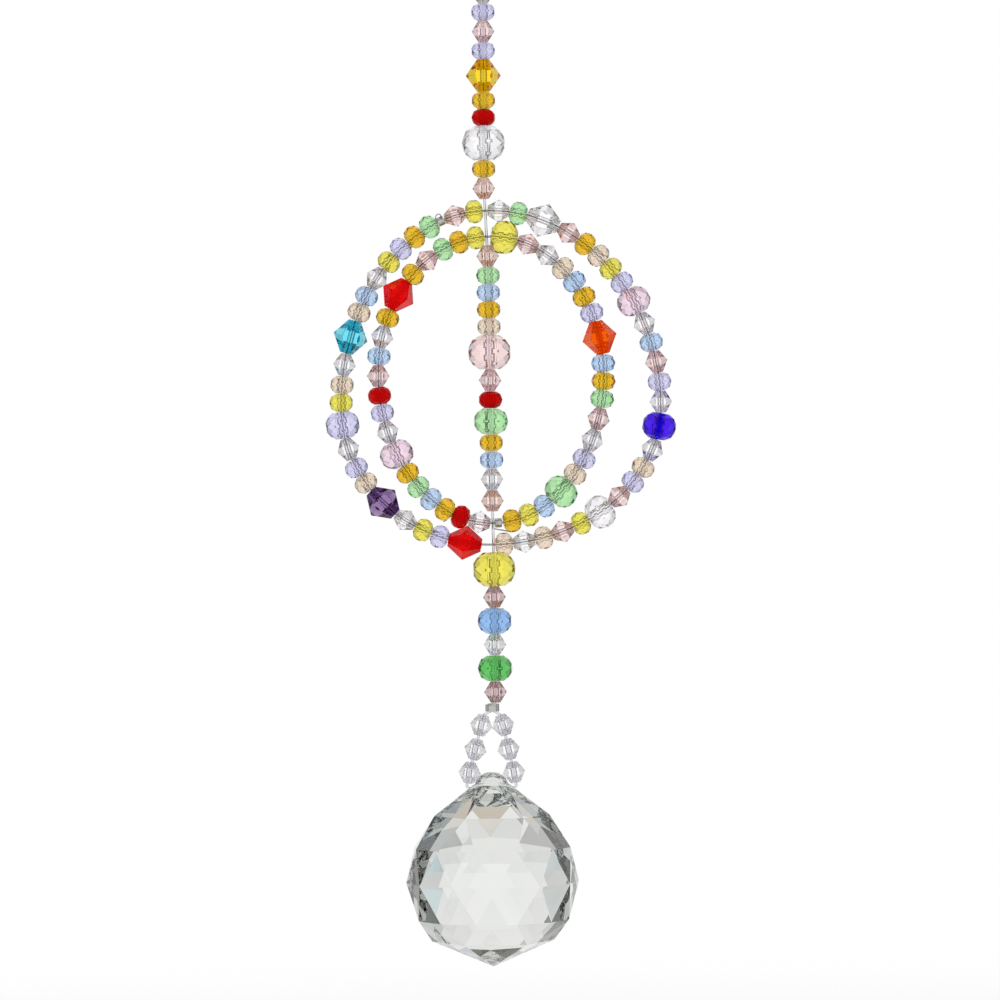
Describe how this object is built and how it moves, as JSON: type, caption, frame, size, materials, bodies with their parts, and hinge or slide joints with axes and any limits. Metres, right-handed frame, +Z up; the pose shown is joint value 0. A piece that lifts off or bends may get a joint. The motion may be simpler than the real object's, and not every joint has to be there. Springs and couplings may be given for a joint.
{
  "type": "crystal suncatcher",
  "caption": "Hanging crystal suncatcher: a thread of small cut glass beads in front of two nested oval bead rings, with a large faceted clear ball at its foot.",
  "frame": {"origin": "the inside top of the hanging ring, where a hook carries it", "axes": "+Z up along the thread, front of the bead rings towards -Y"},
  "size_m": [0.0624, 0.0308, 0.2192],
  "materials": {
    "clear_glass": "cut and polished",
    "lavender_glass": "cut and polished",
    "pink_glass": "cut and polished",
    "dusty_glass": "cut and polished",
    "peach_glass": "cut and polished",
    "gold_glass": "cut and polished",
    "amber_glass": "cut and polished",
    "garnet_glass": "cut and polished",
    "green_glass": "cut and polished",
    "emerald_glass": "cut and polished",
    "blue_glass": "cut and polished",
    "azure_glass": "cut and polished",
    "champagne_glass": "cut and polished",
    "yellow_glass": "cut and polished",
    "aqua_glass": "cut and polished",
    "ruby_glass": "cut and polished",
    "orange_glass": "cut and polished",
    "cobalt_glass": "cut and polished",
    "purple_glass": "cut and polished",
    "orchid_glass": "cut and polished",
    "silver_metal": "bright plated",
    "clear_thread": "smooth drawn thread",
    "ring_wire": "drawn wire"
  },
  "bodies": {
    "root": {"crystal_ball": "clear_glass", "drop_crimp": "silver_metal", "drop_left_bead_1": "clear_glass", "drop_left_bead_2": "clear_glass", "drop_left_bead_3": "clear_glass", "drop_right_bead_1": "clear_glass", "drop_right_bead_2": "clear_glass", "drop_right_bead_3": "clear_glass", "hanging_loop_crimp": "silver_metal", "hanging_ring": "silver_metal", "inner_ring": "champagne_glass", "inner_ring_crimp": "silver_metal", "outer_ring": "champagne_glass", "outer_ring_crimp": "silver_metal", "strand_01_champagne_rondelle": "champagne_glass", "strand_02_clear_bicone": "clear_glass", "strand_03_lavender_rondelle": "lavender_glass", "strand_04_clear_bicone": "clear_glass", "strand_05_clear_bicone": "clear_glass", "strand_06_clear_bicone": "clear_glass", "strand_07_champagne_rondelle": "champagne_glass", "strand_08_clear_bicone": "clear_glass", "strand_09_lavender_rondelle": "lavender_glass", "strand_10_pink_bicone": "pink_glass", "strand_11_lavender_rondelle": "lavender_glass", "strand_12_amber_bicone": "amber_glass", "strand_13_gold_rondelle": "gold_glass", "strand_14_garnet_rondelle": "garnet_glass", "strand_15_clear_rondelle": "clear_glass", "strand_16_gold_rondelle": "gold_glass", "strand_17_peach_bicone": "peach_glass", "strand_18_peach_bicone": "peach_glass", "strand_19_green_rondelle": "green_glass", "strand_20_blue_rondelle": "blue_glass", "strand_21_gold_rondelle": "gold_glass", "strand_22_champagne_rondelle": "champagne_glass", "strand_23_pink_rondelle": "pink_glass", "strand_24_pink_bicone": "pink_glass", "strand_25_garnet_rondelle": "garnet_glass", "strand_26_green_rondelle": "green_glass", "strand_27_gold_rondelle": "gold_glass", "strand_28_blue_rondelle": "blue_glass", "strand_29_clear_bicone": "clear_glass", "strand_30_peach_bicone": "peach_glass", "strand_31_yellow_rondelle": "yellow_glass", "strand_32_dusty_bicone": "dusty_glass", "strand_33_azure_rondelle": "azure_glass", "strand_34_clear_bicone": "clear_glass", "strand_35_emerald_rondelle": "emerald_glass", "strand_36_dusty_bicone": "dusty_glass", "strand_thread": "clear_thread"}
  },
  "joints": []
}
